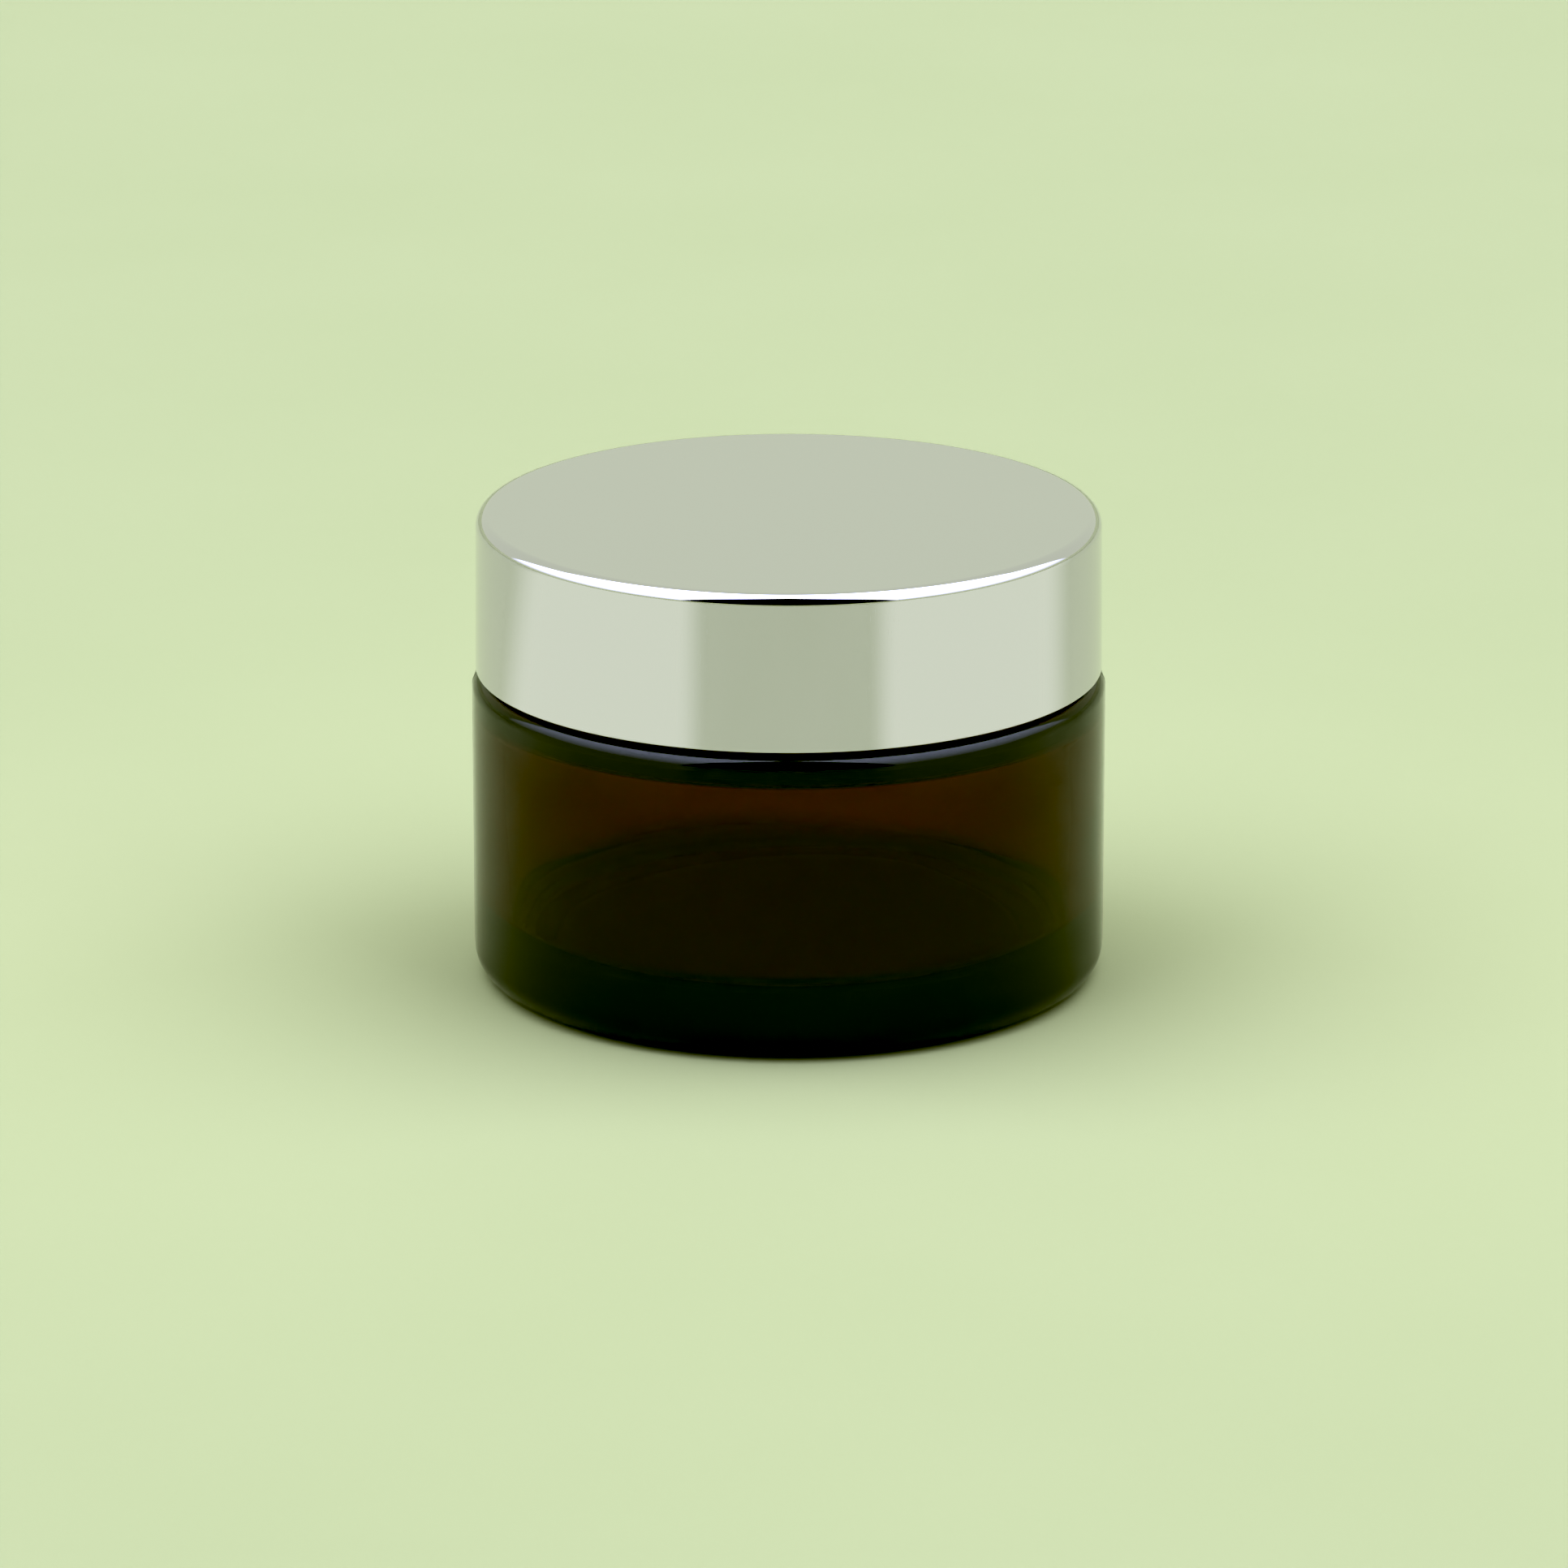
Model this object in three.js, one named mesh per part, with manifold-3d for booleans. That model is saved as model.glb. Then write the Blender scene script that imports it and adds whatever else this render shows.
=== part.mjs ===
// A 50 ml cosmetic cream jar: a moulded amber glass jar with a threaded neck, and a screw lid
// made of a bright metal overshell, a plastic inner cap and a foam liner. A plastic sealing
// disc lies on the rim under the lid. Millimetres, +Z up. The origin is the middle of the
// bearing ring that the jar stands on, and Z is the axis that everything is turned around.

import * as THREE from 'three';
import { mergeVertices } from 'three/addons/utils/BufferGeometryUtils.js';
import Module from 'manifold-3d';

// ---- Driving dimensions ----

// Glass jar
const JAR_DIAMETER = 61;
const SHOULDER_HEIGHT = 29.95;
const NECK_HEIGHT = 10.7;
const BODY_WALL = 3.2;
const NECK_WALL = 2.7;
const FLOOR_HEIGHT = 5.6;
const SHOULDER_THICKNESS = 3.05;
const HEEL_RADIUS = 2.6;
const SHOULDER_RADIUS = 1.6;
const RIM_RADIUS = 0.7;
const NECK_ROOT_RADIUS = 0.6;
const FLOOR_FILLET = 2.5;
const CEILING_FILLET = 1.4;
const BORE_EDGE_RADIUS = 1.4;
const PUSH_UP_HEIGHT = 1.1;
const PUSH_UP_SLOPE_WIDTH = 3;
const BEARING_RING_WIDTH = 2.8;
const BEARING_EDGE_RADIUS = 0.4;

// Screw thread, one start and right-handed
const THREAD_PITCH = 4.2;
const JAR_THREAD_DEPTH = 1;
const JAR_THREAD_CREST_WIDTH = 0.9;
const CAP_THREAD_CREST_WIDTH = 0.8;
const THREAD_FLANK_SLOPE = 0.55;
const THREAD_START_ABOVE_SHOULDER = 3;
const THREAD_END_BELOW_RIM = 2.4;
const CAP_THREAD_START_ABOVE_EDGE = 1.7;
const THREAD_FADE_ANGLE = Math.PI / 5;
const THREAD_SINK = 0.4;
const THREAD_END_SINK = 0.1;

// Lid
const LID_INSET = 0.35;
const LID_DRAFT = 0.15;
const OVERSHELL_WALL = 0.5;
const OVERSHELL_CORNER_RADIUS = 0.95;
const OVERSHELL_EDGE_RADIUS = 0.12;
const CAP_WALL = 1.1;
const CAP_ROOF = 1.45;
const CAP_CORNER_RADIUS = 0.7;
const CAP_EDGE_ABOVE_OVERSHELL = 0.25;
const CAP_LEAD_IN = 0.4;
const LINER_BEAD_HEIGHT = 0.9;
const LINER_BEAD_DEPTH = 0.6;
const LINER_THICKNESS = 1;

// Sealing disc
const DISC_FLANGE_THICKNESS = 0.7;
const DISC_FLANGE_EDGE_INSET = 0.5;
const DISC_PANEL_THICKNESS = 0.8;
const DISC_SKIRT_WALL = 0.95;
const DISC_PLUG_DEPTH = 1.95;
const DISC_CORNER_RADIUS = 0.3;
const TAB_LENGTH = 15;
const TAB_THICKNESS = 1.2;
const TAB_HEADROOM = 0.35;
const TAB_SINK = 0.3;

// Clearances between pieces
const LID_TO_SHOULDER_GAP = 0.35;
const STACK_GAP = 0.3;
const RADIAL_GAP = 0.3;
const BORE_GAP = 0.35;
const THREAD_AXIAL_GAP = 0.35;

// Fineness of the round shapes
const SEGMENTS_AROUND = 60;
const ARC_STEP = Math.PI / 6;
const TAB_CURVE_SEGMENTS = 8;
const MOST_OF_HALF_EDGE = 0.49;

// ---- Sizes that follow from them ----

const jarRadius = JAR_DIAMETER / 2;
const chamberRadius = jarRadius - BODY_WALL;
const rimHeight = SHOULDER_HEIGHT + NECK_HEIGHT;
const ceilingHeight = SHOULDER_HEIGHT - SHOULDER_THICKNESS;

const lidRadius = jarRadius - LID_INSET;
const overshellInnerRadius = lidRadius - OVERSHELL_WALL;
const capOuterRadius = overshellInnerRadius - LID_DRAFT - RADIAL_GAP;
const capInnerRadius = capOuterRadius - CAP_WALL;
const threadCrestRadius = capInnerRadius - RADIAL_GAP;
const neckRadius = threadCrestRadius - JAR_THREAD_DEPTH;
const capThreadRadius = neckRadius + RADIAL_GAP;
const boreRadius = neckRadius - NECK_WALL;

const flangeBottom = rimHeight + STACK_GAP;
const flangeTop = flangeBottom + DISC_FLANGE_THICKNESS;
const linerBottom = flangeTop + STACK_GAP;
const linerTop = linerBottom + LINER_THICKNESS;
const capRoofBottom = linerTop + STACK_GAP;
const capTop = capRoofBottom + CAP_ROOF;
const overshellRoofBottom = capTop + STACK_GAP;
const overshellTop = overshellRoofBottom + OVERSHELL_WALL;
const overshellEdge = SHOULDER_HEIGHT + LID_TO_SHOULDER_GAP;
const capEdge = overshellEdge + CAP_EDGE_ABOVE_OVERSHELL;
const linerBeadTop = linerBottom - STACK_GAP;

// The jar's ridge climbs from its first height to its last. The cap's ridge lies under it, at
// the same angle and pitch, lower by both half widths at the same radius and the axial gap.
const jarThreadStart = SHOULDER_HEIGHT + THREAD_START_ABOVE_SHOULDER;
const jarThreadEnd = rimHeight - THREAD_END_BELOW_RIM;
const flankOverlap = threadCrestRadius - capThreadRadius;
const threadHalfWidths =
  (JAR_THREAD_CREST_WIDTH + CAP_THREAD_CREST_WIDTH) / 2 + flankOverlap * THREAD_FLANK_SLOPE;
const capThreadDrop = threadHalfWidths + THREAD_AXIAL_GAP;
const capThreadStart = capEdge + CAP_THREAD_START_ABOVE_EDGE;
const capThreadEnd = jarThreadEnd - capThreadDrop;
const anglePerHeight = (2 * Math.PI) / THREAD_PITCH;
const capThreadStartAngle = (capThreadStart + capThreadDrop - jarThreadStart) * anglePerHeight;

// ---- Solids ----

const wasm = await Module();
wasm.setup();

// Keeps only positions, shares the vertices that meet and drops triangles without area.
function closedMesh(geometry) {
  geometry.deleteAttribute('normal');
  geometry.deleteAttribute('uv');
  const merged = mergeVertices(geometry);
  const corners = merged.index.array;
  const kept = [];
  for (let i = 0; i < corners.length; i += 3) {
    const [a, b, c] = corners.slice(i, i + 3);
    if (a !== b && b !== c && c !== a) {
      kept.push(a, b, c);
    }
  }
  merged.setIndex(kept);
  return merged;
}

function toManifold(geometry) {
  const vertProperties = new Float32Array(geometry.attributes.position.array);
  const triVerts = new Uint32Array(geometry.index.array);
  return new wasm.Manifold(new wasm.Mesh({ numProp: 3, vertProperties, triVerts }));
}

function joined(base, added) {
  const result = toManifold(base).add(toManifold(added)).getMesh();
  const geometry = new THREE.BufferGeometry();
  geometry.setAttribute('position', new THREE.BufferAttribute(result.vertProperties, 3));
  geometry.setIndex(new THREE.BufferAttribute(result.triVerts, 1));
  return geometry;
}

// The arc that rounds the corner between the points before and after it. It is limited to
// what the two straight edges that meet there leave room for.
function filletArc(before, corner, after, fillet) {
  const shorterEdge = Math.min(corner.distanceTo(before), corner.distanceTo(after));
  const toBefore = before.clone().sub(corner).normalize();
  const toAfter = after.clone().sub(corner).normalize();
  const halfAngle = toBefore.angleTo(toAfter) / 2;
  const reach = Math.min(fillet / Math.tan(halfAngle), shorterEdge * MOST_OF_HALF_EDGE);
  const radius = reach * Math.tan(halfAngle);
  const bisector = toBefore.clone().add(toAfter).normalize();
  const centre = corner.clone().addScaledVector(bisector, radius / Math.sin(halfAngle));
  const first = corner.clone().addScaledVector(toBefore, reach).sub(centre);
  const last = corner.clone().addScaledVector(toAfter, reach).sub(centre);
  const turn = Math.sign(first.cross(last)) * first.angleTo(last);
  const steps = Math.max(2, Math.round(Math.abs(turn) / ARC_STEP));
  const origin = new THREE.Vector2();
  return Array.from({ length: steps + 1 }, (_, i) =>
    first.clone().rotateAround(origin, (turn * i) / steps).add(centre));
}

// A solid turned around the axis. Each corner is [radius, height, fillet]; the outline runs
// anticlockwise with the material on its left, from the axis back to the axis.
function turned(corners) {
  const at = (i) => new THREE.Vector2(corners[i][0], corners[i][1]);
  const outline = corners.flatMap(([, , fillet], i) =>
    fillet ? filletArc(at(i - 1), at(i), at(i + 1), fillet) : [at(i)]);
  const geometry = new THREE.LatheGeometry(outline, SEGMENTS_AROUND);
  geometry.rotateX(Math.PI / 2);
  return closedMesh(geometry);
}

// A helical ridge. It is extruded straight, with its length as an angle, and then wrapped
// around the axis from its far end back, which keeps its faces pointing out. It fades into
// the wall that it stands on over its first and last stretch.
function threadRidge({ wallRadius, crestRadius, crestWidth, startAngle, startHeight, endHeight }) {
  const side = Math.sign(crestRadius - wallRadius);
  const depth = Math.abs(crestRadius - wallRadius);
  const sunkRadius = wallRadius - side * THREAD_SINK;
  const hiddenRadius = wallRadius - side * THREAD_END_SINK;
  const rootHalfWidth = crestWidth / 2 + (depth + THREAD_SINK) * THREAD_FLANK_SLOPE;
  const totalAngle = (endHeight - startHeight) * anglePerHeight;

  const section = new THREE.Shape([
    new THREE.Vector2(sunkRadius, -rootHalfWidth),
    new THREE.Vector2(crestRadius, -crestWidth / 2),
    new THREE.Vector2(crestRadius, crestWidth / 2),
    new THREE.Vector2(sunkRadius, rootHalfWidth),
  ]);
  const steps = Math.ceil((totalAngle / (2 * Math.PI)) * SEGMENTS_AROUND);
  const geometry = new THREE.ExtrudeGeometry(section, {
    depth: totalAngle, steps, bevelEnabled: false,
  });

  const position = geometry.attributes.position;
  const crestMiddle = (crestRadius + sunkRadius) / 2;
  for (let i = 0; i < position.count; i += 1) {
    const along = totalAngle - position.getZ(i);
    const isCrest = side * (position.getX(i) - crestMiddle) > 0;
    const toEnd = Math.min(along, totalAngle - along);
    const rise = Math.min(1, toEnd / THREAD_FADE_ANGLE);
    const radius = isCrest ? THREE.MathUtils.lerp(hiddenRadius, crestRadius, rise) : sunkRadius;
    const angle = startAngle + along;
    const height = startHeight + position.getY(i) + along / anglePerHeight;
    position.setXYZ(i, radius * Math.cos(angle), radius * Math.sin(angle), height);
  }
  return closedMesh(geometry);
}

// ---- Glass jar ----
// Heavy base with a push-up, straight wall, rounded shoulder and a neck with one thread.

function glassJar() {
  const bearingInnerRadius = jarRadius - HEEL_RADIUS - BEARING_RING_WIDTH;
  const body = turned([
    [0, PUSH_UP_HEIGHT],
    [bearingInnerRadius - PUSH_UP_SLOPE_WIDTH, PUSH_UP_HEIGHT, PUSH_UP_SLOPE_WIDTH],
    [bearingInnerRadius, 0, BEARING_EDGE_RADIUS],
    [jarRadius, 0, HEEL_RADIUS],
    [jarRadius, SHOULDER_HEIGHT, SHOULDER_RADIUS],
    [neckRadius, SHOULDER_HEIGHT, NECK_ROOT_RADIUS],
    [neckRadius, rimHeight, RIM_RADIUS],
    [boreRadius, rimHeight, RIM_RADIUS],
    [boreRadius, ceilingHeight, BORE_EDGE_RADIUS],
    [chamberRadius, ceilingHeight, CEILING_FILLET],
    [chamberRadius, FLOOR_HEIGHT, FLOOR_FILLET],
    [0, FLOOR_HEIGHT],
  ]);
  const ridge = threadRidge({
    wallRadius: neckRadius,
    crestRadius: threadCrestRadius,
    crestWidth: JAR_THREAD_CREST_WIDTH,
    startAngle: 0,
    startHeight: jarThreadStart,
    endHeight: jarThreadEnd,
  });
  return joined(body, ridge);
}

// ---- Lid overshell ----
// Thin drawn metal, open below, a little wider at its edge than at its top.

function lidOvershell() {
  return turned([
    [0, overshellRoofBottom],
    [overshellInnerRadius - LID_DRAFT, overshellRoofBottom, OVERSHELL_CORNER_RADIUS / 2],
    [overshellInnerRadius, overshellEdge, OVERSHELL_EDGE_RADIUS],
    [lidRadius, overshellEdge, OVERSHELL_EDGE_RADIUS],
    [lidRadius - LID_DRAFT, overshellTop, OVERSHELL_CORNER_RADIUS],
    [0, overshellTop],
  ]);
}

// ---- Lid inner cap ----
// Moulded plastic inside the overshell, with the thread and a bead that holds the liner.

function lidInnerCap() {
  const body = turned([
    [0, capRoofBottom],
    [capInnerRadius, capRoofBottom],
    [capInnerRadius, linerBeadTop],
    [capInnerRadius - LINER_BEAD_DEPTH, linerBeadTop - LINER_BEAD_HEIGHT / 3],
    [capInnerRadius, linerBeadTop - LINER_BEAD_HEIGHT],
    [capInnerRadius, capEdge + CAP_LEAD_IN],
    [capInnerRadius + CAP_LEAD_IN, capEdge],
    [capOuterRadius, capEdge],
    [capOuterRadius, capTop, CAP_CORNER_RADIUS],
    [0, capTop],
  ]);
  const ridge = threadRidge({
    wallRadius: capInnerRadius,
    crestRadius: capThreadRadius,
    crestWidth: CAP_THREAD_CREST_WIDTH,
    startAngle: capThreadStartAngle,
    startHeight: capThreadStart,
    endHeight: capThreadEnd,
  });
  return joined(body, ridge);
}

// ---- Lid liner ----
// A punched foam disc held against the inner cap's roof by the bead.

function lidLiner() {
  const linerRadius = capInnerRadius - RADIAL_GAP;
  return turned([
    [0, linerBottom],
    [linerRadius, linerBottom],
    [linerRadius, linerTop],
    [0, linerTop],
  ]);
}

// ---- Sealing disc ----
// A moulded plastic plug: a flange on the rim, a skirt in the bore and a sunk panel, with a
// low upright tab in the sunk panel to pull it out by.

function sealingDisc() {
  const flangeRadius = neckRadius - DISC_FLANGE_EDGE_INSET;
  const skirtRadius = boreRadius - BORE_GAP;
  const panelRadius = skirtRadius - DISC_SKIRT_WALL;
  const panelBottom = flangeBottom - DISC_PLUG_DEPTH;
  const panelTop = panelBottom + DISC_PANEL_THICKNESS;
  const plug = turned([
    [0, panelBottom],
    [skirtRadius, panelBottom, DISC_CORNER_RADIUS],
    [skirtRadius, flangeBottom],
    [flangeRadius, flangeBottom],
    [flangeRadius, flangeTop, DISC_CORNER_RADIUS],
    [panelRadius, flangeTop, DISC_CORNER_RADIUS],
    [panelRadius, panelTop, DISC_CORNER_RADIUS],
    [0, panelTop],
  ]);

  const tabTop = flangeTop - TAB_HEADROOM - panelTop;
  const tabCorner = tabTop / 2;
  const face = new THREE.Shape();
  face.moveTo(-TAB_LENGTH / 2, -TAB_SINK);
  face.lineTo(TAB_LENGTH / 2, -TAB_SINK);
  face.lineTo(TAB_LENGTH / 2, tabTop - tabCorner);
  face.absarc(TAB_LENGTH / 2 - tabCorner, tabTop - tabCorner, tabCorner, 0, Math.PI / 2);
  face.absarc(-TAB_LENGTH / 2 + tabCorner, tabTop - tabCorner, tabCorner, Math.PI / 2, Math.PI);
  const tab = new THREE.ExtrudeGeometry(face, {
    depth: TAB_THICKNESS, curveSegments: TAB_CURVE_SEGMENTS, bevelEnabled: false,
  });
  tab.rotateX(Math.PI / 2);
  tab.translate(0, TAB_THICKNESS / 2, panelTop);
  return joined(plug, closedMesh(tab));
}

// ---- The assembly ----

function piece(name, geometry, look) {
  const mesh = new THREE.Mesh(geometry, new THREE.MeshStandardMaterial(look));
  mesh.name = name;
  return mesh;
}

const jar = piece('glass_jar', glassJar(), { color: '#4a2c06', roughness: 0.05, metalness: 0 });
const overshell = piece('lid_overshell', lidOvershell(),
  { color: '#c9ccc6', roughness: 0.08, metalness: 1 });
const innerCap = piece('lid_inner_cap', lidInnerCap(),
  { color: '#eeeeea', roughness: 0.4, metalness: 0 });
const liner = piece('lid_liner', lidLiner(), { color: '#f1f1ee', roughness: 0.8, metalness: 0 });
const disc = piece('sealing_disc', sealingDisc(),
  { color: '#f3f3f0', roughness: 0.35, metalness: 0 });

const lid = new THREE.Group();
lid.add(overshell, innerCap, liner);

const creamJar = new THREE.Group();
creamJar.add(jar, disc, lid);

export default creamJar;
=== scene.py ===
import cmath
import math

import bmesh
import bpy
import numpy as np
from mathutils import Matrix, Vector


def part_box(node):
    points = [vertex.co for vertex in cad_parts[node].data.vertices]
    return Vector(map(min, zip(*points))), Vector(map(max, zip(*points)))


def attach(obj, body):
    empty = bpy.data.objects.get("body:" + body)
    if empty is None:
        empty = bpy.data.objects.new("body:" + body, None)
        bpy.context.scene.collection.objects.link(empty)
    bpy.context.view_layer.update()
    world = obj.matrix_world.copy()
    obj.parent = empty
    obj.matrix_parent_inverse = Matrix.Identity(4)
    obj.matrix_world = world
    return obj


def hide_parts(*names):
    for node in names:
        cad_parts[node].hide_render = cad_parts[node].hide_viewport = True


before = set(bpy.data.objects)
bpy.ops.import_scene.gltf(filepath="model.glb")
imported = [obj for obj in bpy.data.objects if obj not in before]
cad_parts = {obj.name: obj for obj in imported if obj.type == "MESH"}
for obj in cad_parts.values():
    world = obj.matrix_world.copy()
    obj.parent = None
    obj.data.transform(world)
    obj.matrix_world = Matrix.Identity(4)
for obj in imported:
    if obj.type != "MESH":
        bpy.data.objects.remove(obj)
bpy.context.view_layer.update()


# ---------------------------------------------------------------------------------------
# Glass jar
# One gob of amber soda-lime glass, pressed and blown: thick base with a push-up, straight
# wall, rounded shoulder, and a neck that carries a single-start thread. The two halves of
# the mould leave a faint seam up each side, and the bearing ring is stippled.
# ---------------------------------------------------------------------------------------

jar_low, jar_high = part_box("glass_jar")
jar_radius = (jar_high.x - jar_low.x) / 2
rim_height = jar_high.z

body_wall = 0.0032
floor_height = 0.0056
heel_radius = 0.0026
shoulder_height = 0.02995
shoulder_thickness = 0.00305
shoulder_radius = 0.0016
neck_radius = 0.0268
neck_wall = 0.0027
neck_root_radius = 0.0006
rim_radius = 0.0007
ceiling_fillet = 0.0014
floor_fillet = 0.0025
push_up_height = 0.0011
push_up_slope = 0.003
bearing_ring_width = 0.0028
bearing_edge_radius = 0.0004

thread_pitch = 0.0042
thread_depth = 0.001
thread_flank_slope = 0.55
thread_fade_turns = 0.1
jar_thread_crest = 0.0009
jar_thread_start = shoulder_height + 0.003
jar_thread_end = rim_height - 0.0024

seam_angles = (0.0, math.pi)
seam_height = 0.00005
seam_half_width = 0.00016
stipple_count = 128
stipple_depth = 0.00009
wall_waviness = 0.00006
seam_columns_each = 9
seam_spread = 2.5

glass_ior = 1.52
amber_tint = (0.735, 0.54, 0.0, 1)
amber_density = 1520.0

around = 256
arc_step = math.radians(7)
hold_width = 0.00004
largest_share = 0.49


def rounded_outline(corners):
    """The points of an outline whose corners (radius, height, fillet) are rounded by arcs."""
    places = [complex(r, z) for r, z, _ in corners]
    outline = []
    for i, (_, _, fillet) in enumerate(corners):
        here = places[i]
        if not fillet:
            outline.append(here)
            continue
        back, on = places[i - 1] - here, places[i + 1] - here
        shorter = min(abs(back), abs(on))
        back, on = back / abs(back), on / abs(on)
        half_angle = abs(cmath.phase(on / back)) / 2
        reach = min(fillet / math.tan(half_angle), largest_share * shorter)
        radius = reach * math.tan(half_angle)
        centre = here + (back + on) / abs(back + on) * radius / math.sin(half_angle)
        start, end = here + back * reach - centre, here + on * reach - centre
        turn = cmath.phase(end / start)
        steps = max(3, round(abs(turn) / arc_step))
        outline.append(here + back * (reach + hold_width))
        outline += [centre + start * cmath.exp(1j * turn * k / steps) for k in range(steps + 1)]
        outline.append(here + on * (reach + hold_width))
    return outline


def split_straights(outline, radius, step):
    """Adds points along the straight wall at one radius, so that it can carry relief."""
    split = [outline[0]]
    for before, here in zip(outline, outline[1:]):
        on_wall = abs(before.real - radius) < 1e-7 and abs(here.real - radius) < 1e-7
        pieces = max(1, round(abs(here - before) / step)) if on_wall else 1
        split += [before + (here - before) * k / pieces for k in range(1, pieces + 1)]
    return split


def turned_mesh(name, outline, relief=None, extra_angles=()):
    """A closed mesh turned from an outline that runs anticlockwise from the axis back to it."""
    angles = np.unique(np.concatenate([np.arange(around) * 2 * math.pi / around, extra_angles]))
    rings = np.array(outline[1:-1])
    radius = np.repeat(rings.real[:, None], len(angles), axis=1)
    height = np.repeat(rings.imag[:, None], len(angles), axis=1)
    angle = np.repeat(angles[None, :], len(rings), axis=0)
    if relief is not None:
        radius, height = relief(radius, angle, height)
    points = np.stack([radius * np.cos(angle), radius * np.sin(angle), height], axis=-1)
    verts = points.reshape(-1, 3).tolist()
    verts += [(0, 0, outline[0].imag), (0, 0, outline[-1].imag)]
    count, first_pole, last_pole = len(angles), len(verts) - 2, len(verts) - 1
    last_ring = (len(rings) - 1) * count
    faces = []
    for i in range(count):
        j = (i + 1) % count
        faces.append((first_pole, j, i))
        faces += [(r + i, r + j, r + count + j, r + count + i) for r in range(0, last_ring, count)]
        faces.append((last_ring + i, last_ring + j, last_pole))
    mesh = bpy.data.meshes.new(name)
    mesh.from_pydata(verts, [], faces)
    mesh.polygons.foreach_set("use_smooth", [True] * len(mesh.polygons))
    mesh.validate()
    return mesh


def thread_height(angle, height, first, last, crest_width, start_angle):
    """How far a fading helical ridge with rounded flanks stands out of its wall at each point."""
    crest_half = crest_width / 2
    flank = thread_depth * thread_flank_slope
    total = (last - first) / thread_pitch
    stands = np.zeros_like(angle)
    for lap in range(-1, math.ceil(total) + 1):
        turns = (angle - start_angle) / (2 * math.pi) + lap
        off = np.abs(height - first - turns * thread_pitch)
        side = np.clip((crest_half + flank - off) / flank, 0, 1)
        fade = np.clip(np.minimum(turns, total - turns) / thread_fade_turns, 0, 1)
        stands = np.maximum(stands, side**2 * (3 - 2 * side) * fade**2 * (3 - 2 * fade))
    return stands * thread_depth


chamber_radius = jar_radius - body_wall
ceiling_height = shoulder_height - shoulder_thickness
bore_radius = neck_radius - neck_wall
bearing_inner_radius = jar_radius - heel_radius - bearing_ring_width
body_radius = jar_radius - seam_height

jar_outline = rounded_outline([
    (0, push_up_height, 0),
    (bearing_inner_radius - push_up_slope, push_up_height, push_up_slope),
    (bearing_inner_radius, 0, bearing_edge_radius),
    (body_radius, 0, heel_radius),
    (body_radius, shoulder_height, shoulder_radius),
    (neck_radius, shoulder_height, neck_root_radius),
    (neck_radius, rim_height, rim_radius),
    (bore_radius, rim_height, rim_radius),
    (bore_radius, ceiling_height, ceiling_fillet),
    (chamber_radius, ceiling_height, ceiling_fillet),
    (chamber_radius, floor_height, floor_fillet),
    (0, floor_height, 0),
])
jar_outline = split_straights(jar_outline, neck_radius, 0.00012)
jar_outline = split_straights(jar_outline, chamber_radius, 0.0008)
jar_outline = split_straights(jar_outline, body_radius, 0.002)


def jar_relief(radius, angle, height):
    """Thread, mould seams, stippled bearing ring and the slow waves of a blown inner wall."""
    on_neck = np.isclose(radius, neck_radius, atol=1e-8)
    ridge = thread_height(angle, height, jar_thread_start, jar_thread_end, jar_thread_crest, 0)
    outside = (radius > neck_radius + 0.001) & (height > 0.0001)
    seam = sum(
        np.exp(-((math.pi - np.abs(np.abs(angle - at) - math.pi)) * radius / seam_half_width) ** 2)
        for at in seam_angles
    )
    inside = (radius < chamber_radius + 1e-6) & (height > floor_height + 0.0002)
    inside &= (height < ceiling_height) & (radius > bore_radius + 0.0002)
    climb = np.clip((height - floor_height) / (ceiling_height - floor_height), 0, 1)
    waves = (
        np.sin(3 * angle + 190 * height + 0.4)
        + 0.7 * np.sin(5 * angle - 310 * height + 2.1)
        + 0.4 * np.sin(9 * angle + 120 * height + 4.0)
    )
    ring = (radius > bearing_inner_radius) & (height < 1e-6)
    bumps = (0.5 + 0.5 * np.cos(stipple_count * angle)) * ring
    radius = radius + on_neck * ridge + outside * seam * seam_height
    radius = radius + inside * np.sin(np.pi * climb) * waves * wall_waviness
    return radius, height + bumps * stipple_depth


seam_offsets = np.linspace(-1, 1, seam_columns_each) * seam_spread * seam_half_width / jar_radius
seam_columns = [(at + off) % (2 * math.pi) for at in seam_angles for off in seam_offsets]
jar_mesh = turned_mesh("jar_glass", jar_outline, jar_relief, seam_columns)
jar = bpy.data.objects.new("jar_glass", jar_mesh)
bpy.context.scene.collection.objects.link(jar)


def add_node(tree, kind, inputs=(), **settings):
    """Adds a node, sets its options, and gives its inputs values or other nodes' outputs."""
    made = tree.nodes.new(kind)
    for key, value in settings.items():
        setattr(made, key, value)
    for socket, value in dict(inputs).items():
        if isinstance(value, bpy.types.NodeSocket):
            tree.links.new(value, made.inputs[socket])
        else:
            made.inputs[socket].default_value = value
    return made


def new_material(name):
    """A material with only a Principled shader wired to its output."""
    material = bpy.data.materials.new(name)
    material.use_nodes = True
    tree = material.node_tree
    tree.nodes.clear()
    shader = add_node(tree, "ShaderNodeBsdfPrincipled")
    output = add_node(tree, "ShaderNodeOutputMaterial", {"Surface": shader.outputs["BSDF"]})
    return material, tree, shader, output


def new_group(name, numbers, outputs):
    """An empty shader node group with number inputs and the given outputs."""
    tree = bpy.data.node_groups.new(name, "ShaderNodeTree")
    for label, value in numbers.items():
        socket = tree.interface.new_socket(label, in_out="INPUT", socket_type="NodeSocketFloat")
        socket.default_value = value
    for label in outputs:
        tree.interface.new_socket(label, in_out="OUTPUT", socket_type="NodeSocketFloat")
    return tree, tree.nodes.new("NodeGroupInput"), tree.nodes.new("NodeGroupOutput")


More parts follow.
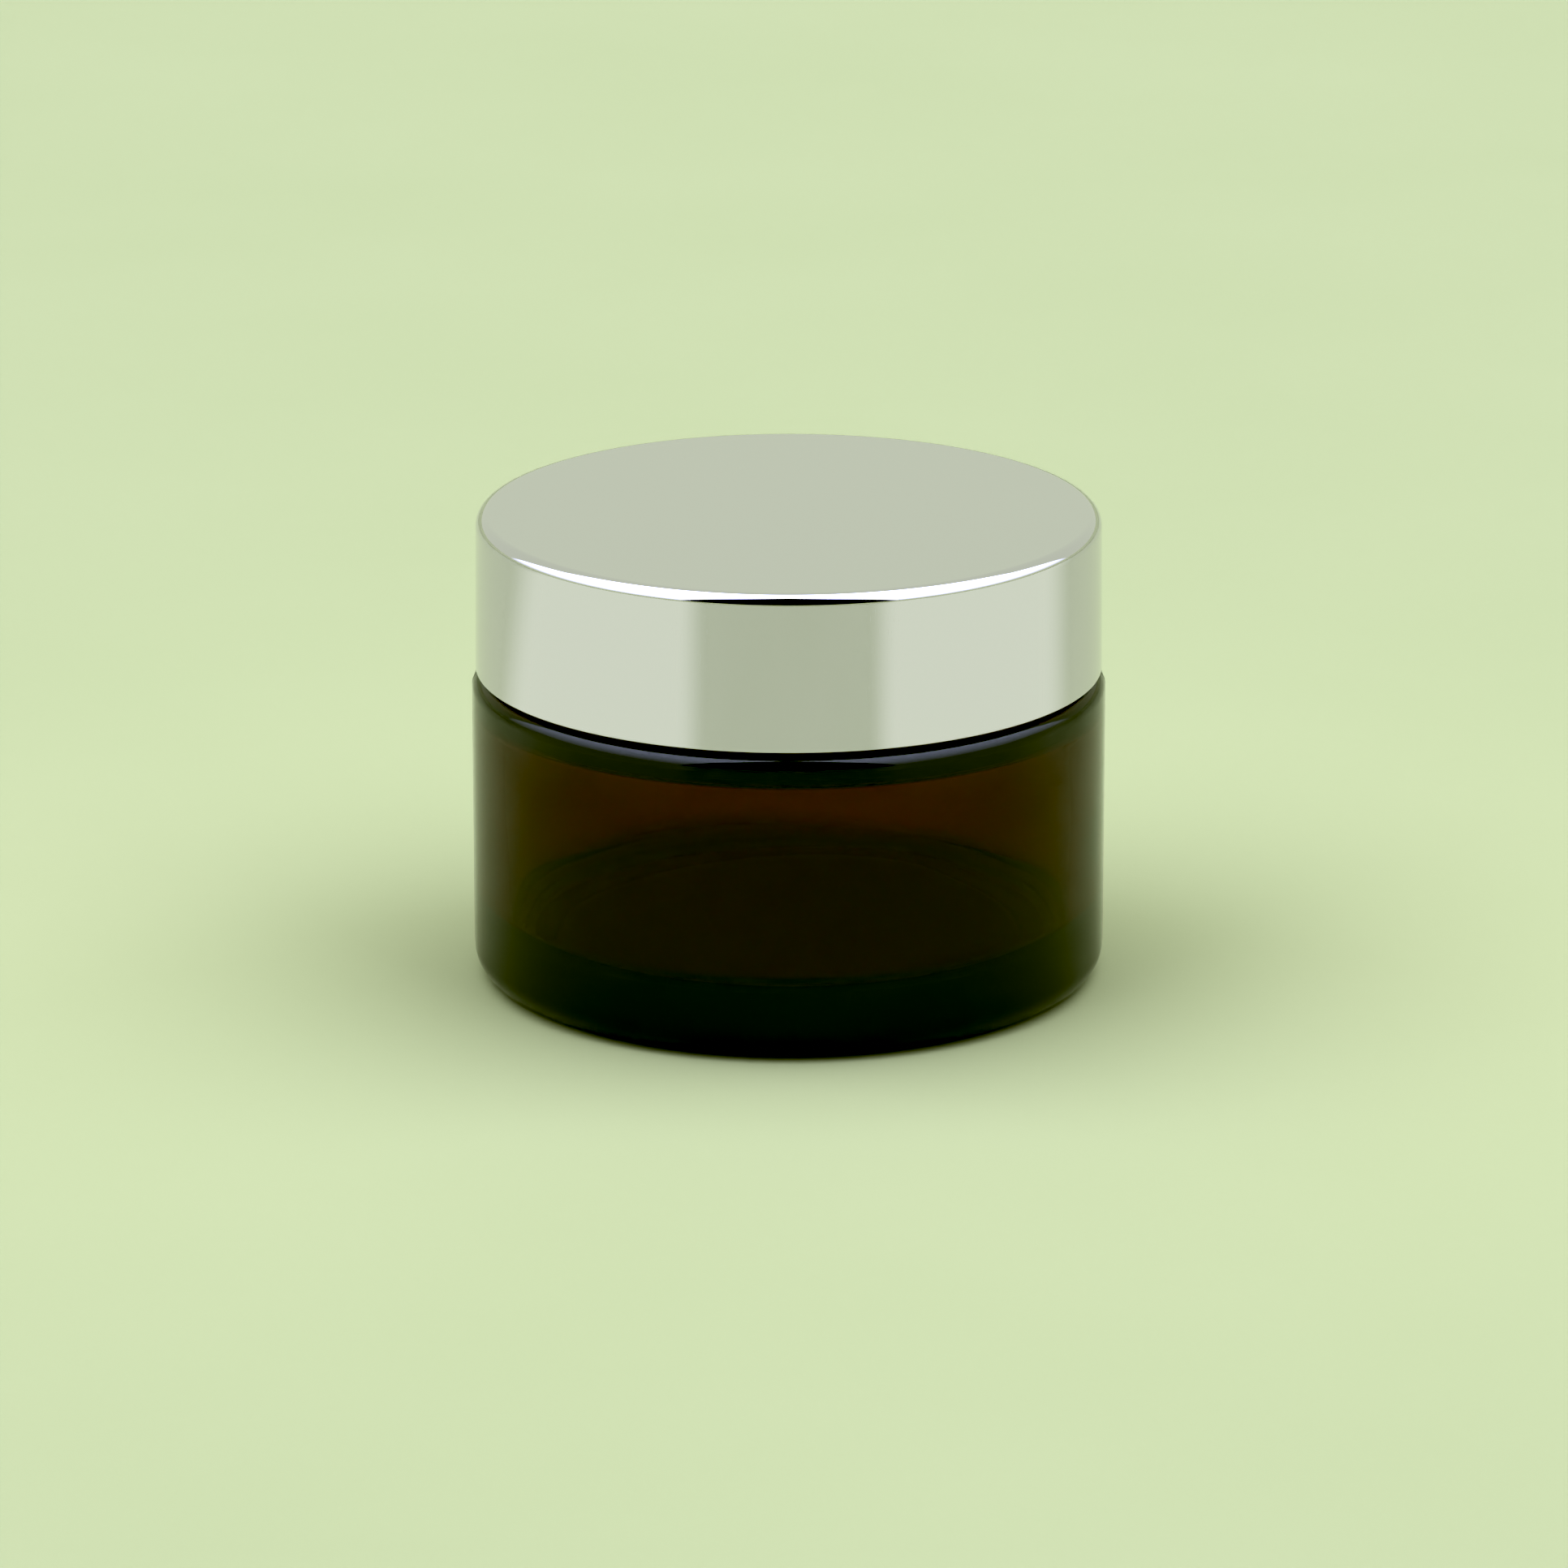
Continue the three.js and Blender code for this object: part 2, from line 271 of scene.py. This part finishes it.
def place_group(tree, group, values):
    """Places a node group in a material, with its own values."""
    placed = add_node(tree, "ShaderNodeGroup", node_tree=group)
    for label, value in values.items():
        placed.inputs[label].default_value = value
    return placed


def bump_normal(tree, height, strength, distance, below=None):
    """The normal of a relief, laid over the normal of another relief if there is one."""
    inputs = {"Height": height, "Strength": strength, "Distance": distance}
    if below is not None:
        inputs["Normal"] = below
    return add_node(tree, "ShaderNodeBump", inputs).outputs["Normal"]


# Faint marks of handling: soft blotches broken up by finer ones.
handling_marks, given, result = new_group(
    "handling_marks", {"Scale": 60.0, "Low": 0.0, "High": 0.1}, ["Roughness"])
place = add_node(handling_marks, "ShaderNodeTexCoord").outputs["Object"]
blotches = add_node(handling_marks, "ShaderNodeTexNoise",
                    {"Vector": place, "Scale": given.outputs["Scale"], "Detail": 5.0, "Roughness": 0.6})
spread = add_node(handling_marks, "ShaderNodeMapRange",
                  {"Value": blotches.outputs["Fac"], "From Min": 0.42, "From Max": 0.72,
                   "To Min": given.outputs["Low"], "To Max": given.outputs["High"]},
                  interpolation_type="SMOOTHSTEP")
handling_marks.links.new(spread.outputs["Result"], result.inputs["Roughness"])

# Slow unevenness of a surface that cooled or was drawn without being ground.
slow_waves, given, result = new_group("slow_waves", {"Scale": 50.0}, ["Height"])
place = add_node(slow_waves, "ShaderNodeTexCoord").outputs["Object"]
swell = add_node(slow_waves, "ShaderNodeTexNoise",
                 {"Vector": place, "Scale": given.outputs["Scale"], "Detail": 1.5, "Roughness": 0.4})
slow_waves.links.new(swell.outputs["Fac"], result.inputs["Height"])

amber, tree, shader, output = new_material("amber_glass")
shader.inputs["Base Color"].default_value = (1, 1, 1, 1)
shader.inputs["IOR"].default_value = glass_ior
shader.inputs["Transmission Weight"].default_value = 1.0
marks = place_group(tree, handling_marks, {"Scale": 70.0, "Low": 0.0, "High": 0.03})
tree.links.new(marks.outputs["Roughness"], shader.inputs["Roughness"])
waves = place_group(tree, slow_waves, {"Scale": 90.0})
tree.links.new(bump_normal(tree, waves.outputs["Height"], 0.25, 0.0001), shader.inputs["Normal"])
depth = add_node(tree, "ShaderNodeVolumeAbsorption", {"Color": amber_tint, "Density": amber_density})
tree.links.new(depth.outputs["Volume"], output.inputs["Volume"])
jar.data.materials.append(amber)

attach(jar, "jar")
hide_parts("glass_jar")


# ---------------------------------------------------------------------------------------
# Lid overshell
# Thin metal sheet drawn to a cup, trimmed at its edge and finished to a mirror. It is
# pressed over the inner cap and turns with it.
# ---------------------------------------------------------------------------------------

shell_low, shell_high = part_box("lid_overshell")
shell_radius = (shell_high.x - shell_low.x) / 2
shell_draft = 0.00015
shell_wall = 0.0005
shell_corner_radius = 0.00117
shell_edge_radius = 0.00012
shell_roof = shell_high.z - shell_wall
mirror_colour = (0.717, 0.685, 0.794, 1)

shell_outline = rounded_outline([
    (0, shell_roof, 0),
    (shell_radius - shell_wall - shell_draft, shell_roof, shell_corner_radius - shell_wall),
    (shell_radius - shell_wall, shell_low.z, shell_edge_radius),
    (shell_radius, shell_low.z, shell_edge_radius),
    (shell_radius - shell_draft, shell_high.z, shell_corner_radius),
    (0, shell_high.z, 0),
])
overshell = bpy.data.objects.new("lid_overshell_mirror", turned_mesh("lid_overshell_mirror", shell_outline))
bpy.context.scene.collection.objects.link(overshell)

mirror, tree, shader, output = new_material("mirror_metal")
shader.inputs["Base Color"].default_value = mirror_colour
shader.inputs["Metallic"].default_value = 1.0
marks = place_group(tree, handling_marks, {"Scale": 55.0, "Low": 0.03, "High": 0.075})
tree.links.new(marks.outputs["Roughness"], shader.inputs["Roughness"])
waves = place_group(tree, slow_waves, {"Scale": 60.0})
wave_normal = bump_normal(tree, waves.outputs["Height"], 0.12, 0.0002)
place = add_node(tree, "ShaderNodeTexCoord").outputs["Object"]
hairs = add_node(tree, "ShaderNodeMapping",
                 {"Vector": place, "Rotation": (0.3, 0.2, 0.7), "Scale": (9000, 500, 700)})
scratch = add_node(tree, "ShaderNodeTexNoise",
                   {"Vector": hairs.outputs["Vector"], "Scale": 1.0, "Detail": 2.0})
rare = add_node(tree, "ShaderNodeMapRange",
                {"Value": scratch.outputs["Fac"], "From Min": 0.66, "From Max": 0.8})
scratch_normal = bump_normal(tree, rare.outputs["Result"], 0.1, 0.00001, below=wave_normal)
tree.links.new(scratch_normal, shader.inputs["Normal"])
overshell.data.materials.append(mirror)

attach(overshell, "lid")
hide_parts("lid_overshell")


# ---------------------------------------------------------------------------------------
# Lid inner cap
# White polypropylene, moulded in one shot and unscrewed from its core. It has the thread
# that meets the jar's, a bead that holds the liner, and ribs that grip the overshell.
# ---------------------------------------------------------------------------------------

cap_low, cap_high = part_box("lid_inner_cap")
liner_low, liner_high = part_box("lid_liner")
cap_radius = (cap_high.x - cap_low.x) / 2
cap_wall = 0.0011
cap_inner_radius = cap_radius - cap_wall
cap_corner_radius = 0.0007
cap_roof = liner_high.z + 0.0003
cap_lead_in = 0.0004
bead_top = liner_low.z - 0.0003
bead_height = 0.0009
bead_depth = 0.0006
rib_count = 48
rib_height = 0.00022
cap_thread_crest = 0.0008
thread_gap = 0.00035
flank_overlap = thread_depth - 0.0003
cap_thread_drop = (jar_thread_crest + cap_thread_crest) / 2 + flank_overlap * thread_flank_slope + thread_gap
cap_thread_start = cap_low.z + 0.0017
cap_thread_end = jar_thread_end - cap_thread_drop
cap_thread_angle = (cap_thread_start + cap_thread_drop - jar_thread_start) / thread_pitch * 2 * math.pi

cap_outline = rounded_outline([
    (0, cap_roof, 0),
    (cap_inner_radius, cap_roof, 0.0001),
    (cap_inner_radius, bead_top, 0.00008),
    (cap_inner_radius - bead_depth, bead_top - bead_height / 3, 0.00015),
    (cap_inner_radius, bead_top - bead_height, 0.0001),
    (cap_inner_radius, cap_low.z + cap_lead_in, 0.00015),
    (cap_inner_radius + cap_lead_in, cap_low.z, 0.0001),
    (cap_radius, cap_low.z, 0.0001),
    (cap_radius, cap_high.z, cap_corner_radius),
    (0, cap_high.z, 0),
])
cap_outline = split_straights(cap_outline, cap_inner_radius, 0.00012)
cap_outline = split_straights(cap_outline, cap_radius, 0.001)


def cap_relief(radius, angle, height):
    """The inner thread, and the upright ribs outside that take the overshell's grip."""
    on_wall = np.isclose(radius, cap_inner_radius, atol=1e-8) & (height < bead_top - bead_height)
    ridge = thread_height(angle, height, cap_thread_start, cap_thread_end, cap_thread_crest,
                          cap_thread_angle)
    on_skirt = np.isclose(radius, cap_radius, atol=1e-8) & (height > cap_low.z + 0.001)
    ribs = np.clip(4 * np.cos(rib_count * angle) - 3, 0, 1)
    return radius - on_wall * ridge + on_skirt * ribs * rib_height, height


cap_mesh = turned_mesh("lid_cap_moulding", cap_outline, cap_relief)
inner_cap = bpy.data.objects.new("lid_cap_moulding", cap_mesh)
bpy.context.scene.collection.objects.link(inner_cap)

# The skin of moulded plastic: a fine even grain from the mould, with slow sink marks.
moulded_skin, given, result = new_group("moulded_skin", {"Grain": 6000.0, "Sink": 120.0}, ["Height", "Tone"])
place = add_node(moulded_skin, "ShaderNodeTexCoord").outputs["Object"]
grain = add_node(moulded_skin, "ShaderNodeTexNoise",
                 {"Vector": place, "Scale": given.outputs["Grain"], "Detail": 2.0})
sinks = add_node(moulded_skin, "ShaderNodeTexNoise",
                 {"Vector": place, "Scale": given.outputs["Sink"], "Detail": 2.0})
both = add_node(moulded_skin, "ShaderNodeMath",
                {0: sinks.outputs["Fac"], 1: 6.0, 2: grain.outputs["Fac"]}, operation="MULTIPLY_ADD")
moulded_skin.links.new(both.outputs["Value"], result.inputs["Height"])
moulded_skin.links.new(sinks.outputs["Fac"], result.inputs["Tone"])


def mixed_colour(tree, share, first, second):
    """A colour between two others."""
    mix = add_node(tree, "ShaderNodeMix", {"Factor": share, "A": first, "B": second}, data_type="RGBA")
    return mix.outputs[2]


def white_plastic(name, light, dark, roughness, grain_strength):
    """Milky polypropylene with the mould's grain and a faint change of tone."""
    material, tree, shader, output = new_material(name)
    skin = place_group(tree, moulded_skin, {"Grain": 6000.0, "Sink": 120.0})
    tree.links.new(mixed_colour(tree, skin.outputs["Tone"], dark, light), shader.inputs["Base Color"])
    marks = place_group(tree, handling_marks, {"Scale": 90.0, "Low": roughness, "High": roughness + 0.12})
    tree.links.new(marks.outputs["Roughness"], shader.inputs["Roughness"])
    skin_normal = bump_normal(tree, skin.outputs["Height"], grain_strength, 0.00002)
    tree.links.new(skin_normal, shader.inputs["Normal"])
    shader.inputs["IOR"].default_value = 1.49
    shader.inputs["Subsurface Weight"].default_value = 0.15
    shader.inputs["Subsurface Radius"].default_value = (0.0012, 0.0011, 0.001)
    shader.inputs["Subsurface Scale"].default_value = 1.0
    return material


inner_cap.data.materials.append(
    white_plastic("cap_polypropylene", (0.86, 0.86, 0.84, 1), (0.80, 0.80, 0.78, 1), 0.34, 0.5))

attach(inner_cap, "lid")
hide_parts("lid_inner_cap")


# ---------------------------------------------------------------------------------------
# Lid liner
# Expanded polyethylene punched from sheet. The jar's rim has pressed a shallow ring into
# its lower face.
# ---------------------------------------------------------------------------------------

liner_radius = (liner_high.x - liner_low.x) / 2
press_depth = 0.00018
inner_slope = 0.001
outer_slope = 0.0006
press_softness = 0.0004
liner_edge_radius = 0.00012

liner_outline = rounded_outline([
    (0, liner_low.z, 0),
    (bore_radius - inner_slope, liner_low.z, 0.0002),
    (bore_radius, liner_low.z + press_depth, press_softness),
    (neck_radius, liner_low.z + press_depth, press_softness),
    (neck_radius + outer_slope, liner_low.z, 0.0001),
    (liner_radius, liner_low.z, liner_edge_radius),
    (liner_radius, liner_high.z, liner_edge_radius),
    (0, liner_high.z, 0),
])
liner = bpy.data.objects.new("liner_foam", turned_mesh("liner_foam", liner_outline))
bpy.context.scene.collection.objects.link(liner)

foam, tree, shader, output = new_material("liner_foam")
place = add_node(tree, "ShaderNodeTexCoord").outputs["Object"]
cells = add_node(tree, "ShaderNodeTexVoronoi", {"Vector": place, "Scale": 3200.0})
patches = add_node(tree, "ShaderNodeTexNoise", {"Vector": place, "Scale": 260.0, "Detail": 3.0})
tone = mixed_colour(tree, patches.outputs["Fac"], (0.78, 0.78, 0.75, 1), (0.88, 0.88, 0.86, 1))
tree.links.new(tone, shader.inputs["Base Color"])
shader.inputs["Roughness"].default_value = 0.78
shader.inputs["Subsurface Weight"].default_value = 0.2
shader.inputs["Subsurface Radius"].default_value = (0.001, 0.001, 0.001)
shader.inputs["Subsurface Scale"].default_value = 1.0
tree.links.new(bump_normal(tree, cells.outputs["Distance"], 0.6, 0.00006), shader.inputs["Normal"])
liner.data.materials.append(foam)

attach(liner, "liner")
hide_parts("lid_liner")


# ---------------------------------------------------------------------------------------
# Sealing disc
# Moulded polypropylene that plugs the mouth: a flange on the rim, a skirt in the bore, a
# sunk panel and, standing in it, a ridged tab to pull it out by.
# ---------------------------------------------------------------------------------------

disc_low, disc_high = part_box("sealing_disc")
flange_radius = (disc_high.x - disc_low.x) / 2
flange_thickness = 0.0007
flange_bottom = disc_high.z - flange_thickness
skirt_gap = 0.00035
skirt_radius = bore_radius - skirt_gap
skirt_wall = 0.00095
panel_radius = skirt_radius - skirt_wall
panel_thickness = 0.0008
panel_top = disc_low.z + panel_thickness
panel_rim_width = 0.003
panel_recess = 0.00015
recess_slope = 0.0003
disc_corner = 0.0003
disc_edge = 0.0001
tab_length = 0.015
tab_thickness = 0.0012
tab_top = disc_high.z - 0.00035
tab_bottom = panel_top - panel_recess
tab_sink = 0.0003
tab_bevel = 0.00025
tab_corner_steps = 8
tab_bevel_steps = 4
grip_ridges = 9
grip_height = 0.00016
grip_radius = 0.0003
grip_sides = 16
grip_share_along = 0.8
grip_share_up = 0.55

disc_outline = rounded_outline([
    (0, disc_low.z, 0),
    (skirt_radius, disc_low.z, disc_corner),
    (skirt_radius, flange_bottom, disc_edge),
    (flange_radius, flange_bottom, disc_edge),
    (flange_radius, disc_high.z, disc_corner),
    (panel_radius, disc_high.z, disc_corner),
    (panel_radius, panel_top, disc_corner),
    (panel_radius - panel_rim_width, panel_top, disc_edge),
    (panel_radius - panel_rim_width - recess_slope, panel_top - panel_recess, disc_edge),
    (0, panel_top - panel_recess, 0),
])
disc = bpy.data.objects.new("sealing_disc_moulding", turned_mesh("sealing_disc_moulding", disc_outline))
bpy.context.scene.collection.objects.link(disc)


def tab_mesh():
    """An upright plate with round upper corners, soft edges and grip ridges on both faces."""
    bottom = tab_bottom - tab_sink
    height = tab_top - bottom
    corner = (tab_top - panel_top) / 2
    half = tab_length / 2
    face = [(-half, bottom), (half, bottom)]
    for side, first in ((1, 0), (-1, math.pi / 2)):
        for k in range(tab_corner_steps + 1):
            turn = first + k * math.pi / 2 / tab_corner_steps
            x = side * (half - corner) + corner * math.cos(turn)
            face.append((x, tab_top - corner + corner * math.sin(turn)))
    made = bmesh.new()
    front = [made.verts.new((x, -tab_thickness / 2, z)) for x, z in face]
    cap = made.faces.new(front)
    pushed = bmesh.ops.extrude_face_region(made, geom=[cap])["geom"]
    far_corners = [part for part in pushed if isinstance(part, bmesh.types.BMVert)]
    bmesh.ops.translate(made, vec=(0, tab_thickness, 0), verts=far_corners)
    rims = [e for e in made.edges if abs(e.verts[0].co.y - e.verts[1].co.y) < 1e-9]
    bmesh.ops.bevel(made, geom=rims, offset=tab_bevel, segments=tab_bevel_steps, profile=0.5, affect="EDGES")
    for k in range(grip_ridges):
        x = (k - (grip_ridges - 1) / 2) * tab_length * grip_share_along / grip_ridges
        ridge = bmesh.ops.create_cone(made, cap_ends=True, segments=grip_sides, radius1=grip_radius,
                                      radius2=grip_radius, depth=(height - tab_sink) * grip_share_up)
        for v in ridge["verts"]:
            v.co.y *= (tab_thickness / 2 + grip_height) / grip_radius
            v.co += Vector((x, 0, (panel_top + tab_top) / 2))
    bmesh.ops.recalc_face_normals(made, faces=made.faces)
    mesh = bpy.data.meshes.new("pull_tab")
    made.to_mesh(mesh)
    made.free()
    return mesh


tab = bpy.data.objects.new("pull_tab", tab_mesh())
bpy.context.scene.collection.objects.link(tab)
union = disc.modifiers.new("union", "BOOLEAN")
union.operation, union.solver, union.object, union.use_self = "UNION", "EXACT", tab, True
bpy.context.view_layer.update()
joined = bpy.data.meshes.new_from_object(disc.evaluated_get(bpy.context.evaluated_depsgraph_get()))
disc.modifiers.clear()
disc.data = joined
joined.polygons.foreach_set("use_smooth", [True] * len(joined.polygons))
joined.set_sharp_from_angle(angle=math.radians(50))
bpy.data.objects.remove(tab)
disc.data.materials.clear()
disc.data.materials.append(
    white_plastic("disc_polypropylene", (0.88, 0.88, 0.87, 1), (0.83, 0.83, 0.82, 1), 0.28, 0.35))

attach(disc, "disc")
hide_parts("sealing_disc")


# ---------------------------------------------------------------------------------------
# Floor and surroundings
# A plain pale green card floor that turns up into a low wall all round, far from the jar.
# The wall glows a little, which makes it as light as the floor.
# ---------------------------------------------------------------------------------------

floor_drop = 0.0001
floor_radius = 1.6
floor_rings = (0, 0.05, 0.1, 0.2, 0.4, 0.8, floor_radius)
floor_sides = 96
sweep_radius = 0.25
sweep_steps = 9
wall_height = 0.35
paper_dark = (0.340, 0.359, 0.191, 1)
paper_light = (0.358, 0.373, 0.204, 1)
wall_light = (0.32, 0.36, 0.27, 1)

floor_outline = [complex(r, -floor_drop) for r in floor_rings]
floor_outline += [
    complex(floor_radius + sweep_radius * math.sin(t), sweep_radius * (1 - math.cos(t)) - floor_drop)
    for t in np.linspace(0, math.pi / 2, sweep_steps + 1)[1:]
]
floor_outline.append(complex(floor_radius + sweep_radius, wall_height))
floor_verts = [(0, 0, -floor_drop)]
for point in floor_outline[1:]:
    floor_verts += [
        (point.real * math.cos(t), point.real * math.sin(t), point.imag)
        for t in np.arange(floor_sides) * 2 * math.pi / floor_sides
    ]
floor_faces = [(0, 1 + i, 1 + (i + 1) % floor_sides) for i in range(floor_sides)]
for ring in range(len(floor_outline) - 2):
    low, high = 1 + ring * floor_sides, 1 + (ring + 1) * floor_sides
    for i in range(floor_sides):
        j = (i + 1) % floor_sides
        floor_faces.append((low + i, high + i, high + j, low + j))
floor_mesh = bpy.data.meshes.new("floor")
floor_mesh.from_pydata(floor_verts, [], floor_faces)
floor_mesh.polygons.foreach_set("use_smooth", [True] * len(floor_mesh.polygons))
floor = bpy.data.objects.new("floor", floor_mesh)
bpy.context.scene.collection.objects.link(floor)


def soft_step(tree, value, start, end):
    """0 at the start of a range of values and 1 at its end, with an S-shaped rise between."""
    made = add_node(tree, "ShaderNodeMapRange", {"Value": value, "From Min": start, "From Max": end},
                    interpolation_type="SMOOTHSTEP")
    return made.outputs["Result"]


paper, tree, shader, output = new_material("pale_green_card")
place = add_node(tree, "ShaderNodeTexCoord").outputs["Object"]
cloud = add_node(tree, "ShaderNodeTexNoise", {"Vector": place, "Scale": 14.0, "Detail": 3.0})
tone = mixed_colour(tree, cloud.outputs["Fac"], paper_dark, paper_light)
tree.links.new(tone, shader.inputs["Base Color"])
shader.inputs["Roughness"].default_value = 0.9
shader.inputs["Specular IOR Level"].default_value = 0.1
height = add_node(tree, "ShaderNodeSeparateXYZ", {"Vector": place}).outputs["Z"]
glow = mixed_colour(tree, soft_step(tree, height, 0.0, sweep_radius), (0, 0, 0, 1), wall_light)
tree.links.new(glow, shader.inputs["Emission Color"])
shader.inputs["Emission Strength"].default_value = 1.0
fibres = add_node(tree, "ShaderNodeTexNoise", {"Vector": place, "Scale": 2500.0, "Detail": 3.0})
tree.links.new(bump_normal(tree, fibres.outputs["Fac"], 0.2, 0.00005), shader.inputs["Normal"])
floor.data.materials.append(paper)


# ---------------------------------------------------------------------------------------
# Light
# A soft white tent: bright roof, dimmer side panels, a dull back and a dark front opening
# that narrows upwards. Two low cards beside the jar show only in what reflects them, and
# two small lamps lift the jar's side shadows.
# ---------------------------------------------------------------------------------------

roof_light = (3.5, 3.76, 5.15, 1)
side_light = (1.0, 1.08, 1.0, 1)
back_light = (0.772, 0.842, 0.652, 1)
front_light = (0.012, 0.012, 0.014, 1)
side_top = 0.2
roof_start = 0.8
edge_softness = 0.03
back_roof_lean = 0.53
back_side_lean = 0.62
opening_width = 0.85
opening_narrowing = 0.2
lintel_lean = 4.5

world = bpy.data.worlds.new("tent")
bpy.context.scene.world = world
world.use_nodes = True
sky = world.node_tree
sky.nodes.clear()
direction = add_node(sky, "ShaderNodeTexCoord").outputs["Generated"]
way = add_node(sky, "ShaderNodeSeparateXYZ", {"Vector": direction})


def number(operation, *values):
    """A math node in the world's tree."""
    return add_node(sky, "ShaderNodeMath", dict(enumerate(values)), operation=operation).outputs["Value"]


def past(value):
    """0 where a value is below zero, 1 where it is above, with a soft step between."""
    return soft_step(sky, value, -edge_softness, edge_softness)


to_side = number("ABSOLUTE", way.outputs["X"])
forward = number("MULTIPLY", way.outputs["Y"], -1.0)
roof_edge = number("MULTIPLY", way.outputs["Z"], back_roof_lean)
side_edge = number("MULTIPLY", to_side, back_side_lean)
behind = past(number("SUBTRACT", way.outputs["Y"], number("MAXIMUM", roof_edge, side_edge)))
half_opening = number("MULTIPLY_ADD", way.outputs["Z"], -opening_narrowing,
                      number("MULTIPLY", forward, opening_width))
lintel = number("SUBTRACT", number("MULTIPLY", forward, lintel_lean), way.outputs["Z"])
in_front = number("MULTIPLY", past(number("SUBTRACT", half_opening, to_side)), past(lintel))
upward = add_node(sky, "ShaderNodeMapRange",
                  {"Value": way.outputs["Z"], "From Min": side_top, "From Max": roof_start})
panels = mixed_colour(sky, upward.outputs["Result"], side_light, roof_light)
closed_tent = mixed_colour(sky, behind, panels, back_light)
whole_tent = mixed_colour(sky, in_front, closed_tent, front_light)
lit = add_node(sky, "ShaderNodeBackground", {"Color": whole_tent, "Strength": 1.0})
add_node(sky, "ShaderNodeOutputWorld", {"Surface": lit.outputs["Background"]})

# Each card stands on a bent foot line of (x, y, height of its lower edge).
card_light = (0.950, 1.045, 0.790, 1)
card_top = 0.045
card_fade = 0.2
card_steps = 24
card_feet = {
    "card_left": [(-0.058, -0.118, -0.005), (-0.076, -0.030, 0.007), (-0.080, 0.045, 0.003)],
    "card_right": [(0.057, -0.120, -0.005), (0.076, -0.030, 0.007), (0.082, 0.028, 0.003)],
}
card_lean = {"card_left": 0.04, "card_right": 0.0}

white_card = bpy.data.materials.new("white_card")
white_card.use_nodes = True
tree = white_card.node_tree
tree.nodes.clear()
along = add_node(tree, "ShaderNodeAttribute", attribute_name="along").outputs["Fac"]
up = add_node(tree, "ShaderNodeAttribute", attribute_name="up").outputs["Fac"]
front_fade = soft_step(tree, along, 0.0, card_fade)
back_fade = soft_step(tree, along, 1.0, 1 - card_fade)
lower_fade = soft_step(tree, up, 0.0, card_fade)
end_fades = add_node(tree, "ShaderNodeMath", {0: front_fade, 1: back_fade}, operation="MULTIPLY")
seen = add_node(tree, "ShaderNodeMath", {0: end_fades.outputs["Value"], 1: lower_fade}, operation="MULTIPLY")
shine = add_node(tree, "ShaderNodeEmission", {"Color": card_light, "Strength": 1.0})
clear = add_node(tree, "ShaderNodeBsdfTransparent")
card_mix = add_node(tree, "ShaderNodeMixShader",
                    {0: seen.outputs["Value"], 1: clear.outputs["BSDF"], 2: shine.outputs["Emission"]})
add_node(tree, "ShaderNodeOutputMaterial", {"Surface": card_mix.outputs["Shader"]})

for name, foot in card_feet.items():
    lengths = [math.dist(foot[0][:2], foot[1][:2]), math.dist(foot[1][:2], foot[2][:2])]
    card_verts, shares = [], []
    for k in range(card_steps + 1):
        for top in (False, True):
            share = k / card_steps
            run = share * (sum(lengths) - card_lean[name] * top)
            first = min(1, run / lengths[0])
            second = max(0, (run - lengths[0]) / lengths[1])
            x, y, bottom = (a + (b - a) * first + (c - b) * second for a, b, c in zip(*foot))
            card_verts.append((x, y, card_top if top else bottom))
            shares.append(share)
    card_faces = [(2 * k, 2 * k + 2, 2 * k + 3, 2 * k + 1) for k in range(card_steps)]
    card_mesh = bpy.data.meshes.new(name)
    card_mesh.from_pydata(card_verts, [], card_faces)
    card_mesh.attributes.new("along", "FLOAT", "POINT").data.foreach_set("value", shares)
    card_mesh.attributes.new("up", "FLOAT", "POINT").data.foreach_set("value", [0.0, 1.0] * (card_steps + 1))
    card = bpy.data.objects.new(name, card_mesh)
    card.data.materials.append(white_card)
    bpy.context.scene.collection.objects.link(card)
    card.visible_camera = card.visible_diffuse = card.visible_shadow = card.visible_transmission = False

# Two small lamps lift the shadows that the jar throws to both sides.
fill_power = 0.0165
fill_size = 0.06
fill_place = (0.08, -0.002, 0.095)
fill_tilt = 0.3
for name, side in (("fill_left", -1), ("fill_right", 1)):
    lamp = bpy.data.lights.new(name, "AREA")
    lamp.shape, lamp.size, lamp.energy = "DISK", fill_size, fill_power
    fill = bpy.data.objects.new(name, lamp)
    fill.location = (side * fill_place[0], fill_place[1], fill_place[2])
    fill.rotation_euler = (0, side * fill_tilt, 0)
    bpy.context.scene.collection.objects.link(fill)
    fill.visible_camera = fill.visible_glossy = fill.visible_transmission = False


# ---------------------------------------------------------------------------------------
# Camera
# A long lens that looks down on the jar by seventeen degrees, from straight in front.
# ---------------------------------------------------------------------------------------

camera_distance = 0.8634
camera_elevation = math.radians(17.0)
camera_lens = 205
camera_sensor = 36
view_limit = 10
aim = Vector((-0.00045, 0, 0.01814))

camera_data = bpy.data.cameras.new("camera")
camera_data.lens = camera_lens
camera_data.sensor_width = camera_sensor
camera_data.clip_end = view_limit
camera = bpy.data.objects.new("camera", camera_data)
bpy.context.scene.collection.objects.link(camera)
towards_camera = Vector((0, -math.cos(camera_elevation), math.sin(camera_elevation)))
camera.location = aim + towards_camera * camera_distance
camera.rotation_mode = "QUATERNION"
camera.rotation_quaternion = (-towards_camera).to_track_quat("-Z", "Y")
bpy.context.scene.camera = camera

# The tones of a finished product picture: deep shadows, plain highlights.
grade = bpy.context.scene.view_settings
grade.view_transform = "Standard"
grade.gamma = 0.8
grade.use_curve_mapping = True
grade.curve_mapping.black_level = (0.030, 0.026, 0.052)
grade.curve_mapping.update()
